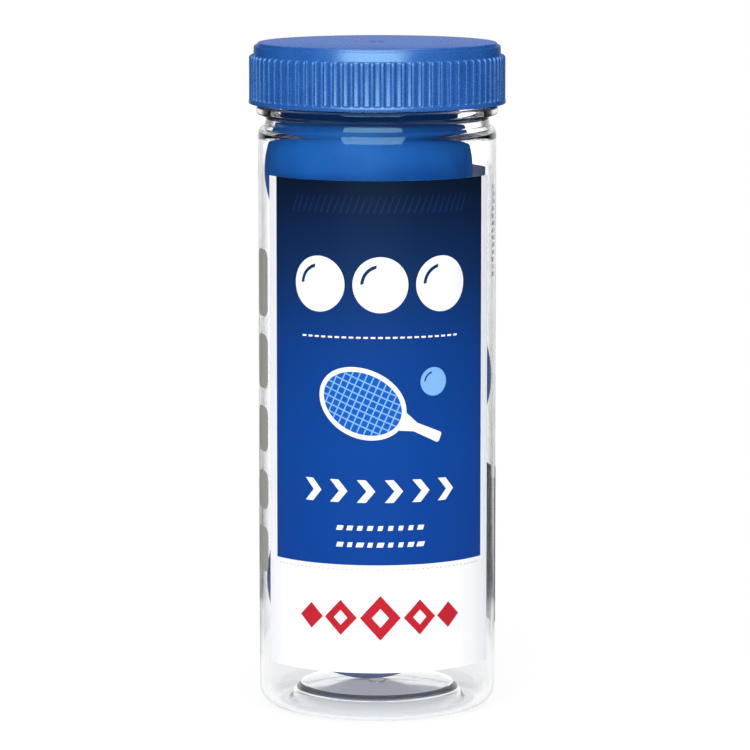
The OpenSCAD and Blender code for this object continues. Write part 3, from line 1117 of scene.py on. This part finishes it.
def label_prints():
    low, blue_low, high = FILM.low_z / MM, BLUE_LOW_Z / MM, FILM.high_z / MM
    for name, angles in PRINT_ANGLES.items():
        middle, half, blue_half = (round_film(angle) for angle in angles)
        panel = box_outline(-half, half, low, high)
        printed(f"{name}_white_panel", [[panel]], WHITE_INK, 1, middle)
        panel = box_outline(-blue_half, blue_half, blue_low, high)
        printed(f"{name}_blue_panel", [[panel]], BLUE_INK, 2, middle)
        marks(
            f"{name}_ticks", DIM_BLUE_INK, 3, (middle - 25.1, 142.4), (0.5, 4.9),
            count=(28, 1), step=(1.86, 0.0), slant=1.9, taper=0.75,
        )
        marks(
            f"{name}_perforation", PALE_GREY_INK, 2, (middle - 31.5, 42.7), (0.7, 0.28),
            count=(46, 1), step=(1.4, 0.0),
        )
        marks(
            f"{name}_upper_dashes", WHITE_INK, 3, (middle - 22.0, 106.3), (1.25, 0.5),
            count=(23, 1), step=(2.0, 0.0),
        )
        marks(
            f"{name}_lower_dashes", WHITE_INK, 3, (middle - 11.2, 49.6), (2.1, 1.3),
            count=(9, 2), step=(2.8, 4.6), slant=0.5, width_swing=0.45, seed=4,
        )

    # Three balls in a row, over a racket and its ball
    front, back = (round_film(PRINT_ANGLES[name][0]) for name in ("front", "back"))
    signs_z, diamonds_z = 120.6, 29.4
    signs = [ball_sign(x, signs_z, radius=7.6) for x in (-17.4, 0.0, 17.4)]
    printed("front_ball_signs", signs, WHITE_INK, 3, front)
    racket_sign("front_racket", front, x=-5.0, z=88.3, turn=-24.0)
    struck = ball_sign(x=15.0, z=94.0, radius=3.9)
    printed("front_struck_ball", [struck], SKY_INK, 3, front)
    first, step = -21.6, 7.6
    places = [first + step * i for i in range(6)]
    arrowheads = [[chevron(x, z=64.3, wide=5.0, high=6.2, thick=2.4)] for x in places]
    printed("front_chevrons", arrowheads, WHITE_INK, 3, front)
    red_diamonds("front_diamonds", front, diamonds_z, scale=1.0)
    court_plan("back_court_plan", back, z=80.0, half_w=11.0, half_h=19.0, line=0.6)
    signs = [ball_sign(x, signs_z, radius=4.6) for x in (-11.0, 0.0, 11.0)]
    printed("back_ball_signs", signs, WHITE_INK, 3, back)
    red_diamonds("back_diamonds", back, diamonds_z, scale=0.7)

    # Grey prints on the clear parts of the film at the sides
    heights = ((38.5, 51.0), (56.0, 66.5), (72.0, 84.5), (89.5, 104.5), (109.5, 128.0))
    pads = [[box_outline(-4.5, 4.5, *ends, corner=2.4)] for ends in heights]
    printed("left_pads", pads, GREY_INK, 1, round_film(LEFT_PADS_AT))
    marks(
        "right_dashes", GREY_INK, 1, (round_film(RIGHT_DASHES_AT), 121.0), (0.9, 1.3),
        count=(2, 13), step=(1.7, 2.0), width_swing=0.6, seed=7,
    )
    block = [round_film(angle) for angle in RIGHT_BLOCK_AT]
    printed("right_block", [[box_outline(*block, low=22, high=66)]], GREY_INK, 1)
    marks(
        "right_block_stripes", DARK_GREY_INK, 2, (sum(block) / 2, 25.0), (8.0, 0.9),
        count=(1, 20), step=(0.0, 2.0), width_swing=0.3, seed=11,
    )


# The stage

WHITE, COOL_BLUE = (1.0, 1.0, 1.0, 1.0), (0.55, 0.62, 1.0, 1.0)
BACKDROP_GLARE = 1.9  # of the white backdrop through the jar, where the photo overexposes it
ONE_WALL = 2.5  # light that has crossed more surfaces than this has passed more than one wall
BEHIND = (0.85, 0.95)  # how much of a way must run to the back to meet the white behind the jar

# Each pair is where an effect starts and where it is full, by how much of a way runs up or back.
# The others are strengths of light.
BACKDROP = SimpleNamespace(
    walls_up=(0.6, 0.3), band_low_up=(-0.3, -0.1), band_high_up=(0.5, 0.15), over_cap_up=(0.0, 0.04),
    blurred_back=(0.88, 0.97), polished_back=(0.72, 0.88), polished_up=(-0.24, -0.12),
    edge_light=0.99, edge_least=0.01, blurred_light=0.35, over_cap_light=0.32, polished_light=0.8,
    gloss_least=0.02, diffuse_light=0.3,
)
# Pairs are metres from the jar's axis, but for back, as above, and short, a ray's length
FLOOR = SimpleNamespace(
    r=0.4, sides=96, near=(0.2, 0.08), back=(-0.2, 0.5), short=(0.165, 0.15), outer=(0.06, 0.22),
    shadow=(0.034, 0.024), shadow_dark=0.36, white=0.88, outer_white=0.12, mirror_dark=0.9,
    back_calm=0.15, least_light=0.04,
)
LENS, SENSOR_W = 216.6, 36.0
CAMERA_PITCH = 7.657  # degrees down from level
CAMERA = metres(x=-0.61, y=-1240.8, z=258.6)


def backdrop():
    """White surroundings. What the camera, gloss and clear plastic see of them differs."""
    world = bpy.data.worlds.new("studio_world")
    bpy.context.scene.world = world
    world.use_nodes = True
    tree = world.node_tree
    path = outputs(put(tree, "ShaderNodeLightPath"))
    way = split(take(tree, "ShaderNodeTexCoord", output="Generated"))
    # What is seen right through the jar stands before white walls under a dim ceiling. What only
    # crosses one wall of it, and gloss, show the white behind the jar alone.
    walls = way["Z"].eased(*BACKDROP.walls_up) * BACKDROP_GLARE
    edge = way["Y"].eased(*BEHIND) * BACKDROP.edge_light + BACKDROP.edge_least
    deep = path["Transmission Depth"].maths("GREATER_THAN", ONE_WALL)
    through = mixed(deep, edge, walls)
    band = way["Z"].eased(*BACKDROP.band_low_up) * way["Z"].eased(*BACKDROP.band_high_up)
    # Only polished clear plastic, whose rays are singular, shows it white. It is blue over the cap.
    over_cap = way["Z"].eased(*BACKDROP.over_cap_up)
    blurred = over_cap * BACKDROP.over_cap_light + BACKDROP.blurred_light
    blurred = way["Y"].eased(*BACKDROP.blurred_back) * blurred
    polished = way["Y"].eased(*BACKDROP.polished_back) * BACKDROP.polished_light
    polished = way["Z"].eased(*BACKDROP.polished_up) * polished
    gloss = band * mixed(path["Is Singular Ray"], blurred, polished) + BACKDROP.gloss_least
    strength = path["Is Diffuse Ray"] * BACKDROP.diffuse_light
    seen = {"Is Camera Ray": 1.0, "Is Glossy Ray": gloss, "Is Transmission Ray": through}
    for ray, light in seen.items():
        strength = mixed(path[ray], strength, light)
    blue = path["Is Glossy Ray"].maths("SUBTRACT", path["Is Singular Ray"], clamp=True) * over_cap
    colour = blended(blue, WHITE, COOL_BLUE)
    shade = put(tree, "ShaderNodeBackground", {"Color": colour, "Strength": strength})
    feed(tree.nodes["World Output"], {"Surface": shade})


def pale_floor():
    """The floor: plain where a lamp lights it, and white or dark where it is only seen."""
    edge = [(x, y, 0.0) for x, y in oval(0.0, 0.0, FLOOR.r, FLOOR.r, FLOOR.sides)]
    floor = mesh_object("studio_floor", edge, faces=[range(FLOOR.sides)])
    material, tree, shader, place = bare_material(
        "pale_floor", Base_Color=(0.93, 0.93, 0.93, 1.0), Roughness=0.6, Specular_IOR_Level=0.1
    )
    path = outputs(put(tree, "ShaderNodeLightPath"))
    # Far is how far a spot is from the jar's axis, and back how much of its way there runs back
    far = take(tree, "ShaderNodeVectorMath", {0: place}, "Value", operation="LENGTH")
    near = far.eased(*FLOOR.near)
    back = split(place)["Y"] / far
    # White through the jar, and close by or behind also in one wall of it. Dark in gloss, but for
    # polished plastic under the neck, whose rays are shorter.
    deep = path["Transmission Depth"].maths("GREATER_THAN", ONE_WALL)
    clear = path["Is Transmission Ray"] * either(deep, near, back.eased(*BEHIND))
    sharp = path["Is Singular Ray"] * near * path["Ray Length"].eased(*FLOOR.short)
    seen = either(path["Is Camera Ray"], clear, sharp)
    mirrored = either(path["Is Glossy Ray"], path["Is Transmission Ray"])
    mirrored = mirrored * (FLOOR.mirror_dark - seen)
    # The jar's own shadow lies under it
    white = far.eased(*FLOOR.outer) * FLOOR.outer_white + FLOOR.white
    white = white - far.eased(*FLOOR.shadow) * FLOOR.shadow_dark
    share = either(seen * white, mirrored)
    glare = (1.0 - near) * (BACKDROP_GLARE - 1) - back.eased(*FLOOR.back) * FLOOR.back_calm
    strength = either(seen * (deep * glare + 1.0), FLOOR.least_light)
    glow = put(tree, "ShaderNodeEmission", {"Color": WHITE, "Strength": strength})
    mix = put(tree, "ShaderNodeMixShader", {0: share, 1: shader, 2: glow})
    feed(tree.nodes["Material Output"], {"Surface": mix})
    floor.data.materials.append(material)


def lamp(name, place, aim, size, power, matt=True, gloss=True, colour=(1.0, 1.0, 1.0)):
    """A soft box. matt and gloss say whether it lights plain surfaces and shows in polished ones."""
    light = bpy.data.lights.new(name, "AREA")
    light.shape, light.energy, light.color = "RECTANGLE", power, colour
    light.size, light.size_y = size
    made = bpy.data.objects.new(name, light)
    made.location = place
    made.rotation_euler = (Vector(aim) - Vector(place)).to_track_quat("-Z", "Y").to_euler()
    made.visible_diffuse, made.visible_glossy = matt, gloss
    made.visible_camera = made.visible_transmission = False
    bpy.context.scene.collection.objects.link(made)


def lamps():
    foot, middle, upper = ((0.0, 0.0, z) for z in (0.0, 0.1, 0.115))
    lamp("front_soft_box", (-0.08, -1.0, 0.95), middle, (1.3, 0.9), power=19.0, gloss=False)
    # Gloss shows a cooler and lower box than the one that lights the object
    cool = (0.54, 0.95, 1.0)
    place, size = (-0.05, -0.635, 0.423), (0.74, 0.527)
    lamp("front_gloss_box", place, upper, size, power=5.1, matt=False, colour=cool)
    lamp("top_soft_box", (0.0, -0.05, 0.95), foot, (0.7, 0.7), power=2.5)
    lamp("left_fill", (-1.0, -0.45, 0.85), middle, (0.9, 0.5), power=2.6, gloss=False)
    lamp("right_fill", (1.0, -0.45, 0.85), middle, (0.9, 0.5), power=2.3, gloss=False)
    lamp("back_fill", (0.2, 1.1, 0.8), middle, (0.9, 0.7), power=5.5, gloss=False)


def photo_camera():
    camera = bpy.data.cameras.new("photo_camera")
    camera.lens, camera.sensor_width = LENS, SENSOR_W
    holder = bpy.data.objects.new("photo_camera", camera)
    holder.location = (CAMERA.x, CAMERA.y, CAMERA.z)
    holder.rotation_euler = (math.radians(90 - CAMERA_PITCH), 0.0, 0.0)
    bpy.context.scene.collection.objects.link(holder)
    bpy.context.scene.camera = holder


def studio():
    """The photo's surroundings, lamps and camera, and enough bounces for the clear plastic."""
    scene = bpy.context.scene
    scene.view_settings.view_transform = "Standard"
    scene.cycles.transparent_max_bounces = 24
    scene.cycles.transmission_bounces = 16
    scene.cycles.max_bounces = 20
    backdrop()
    pale_floor()
    lamps()
    photo_camera()


studio()
jar()
screw_cap()
cap_liner()
ball("top", turn=(68, 0, 0))
ball("middle", turn=(18, 40, 0))
ball("bottom", turn=(72, 0, 20))
label_film()
label_prints()
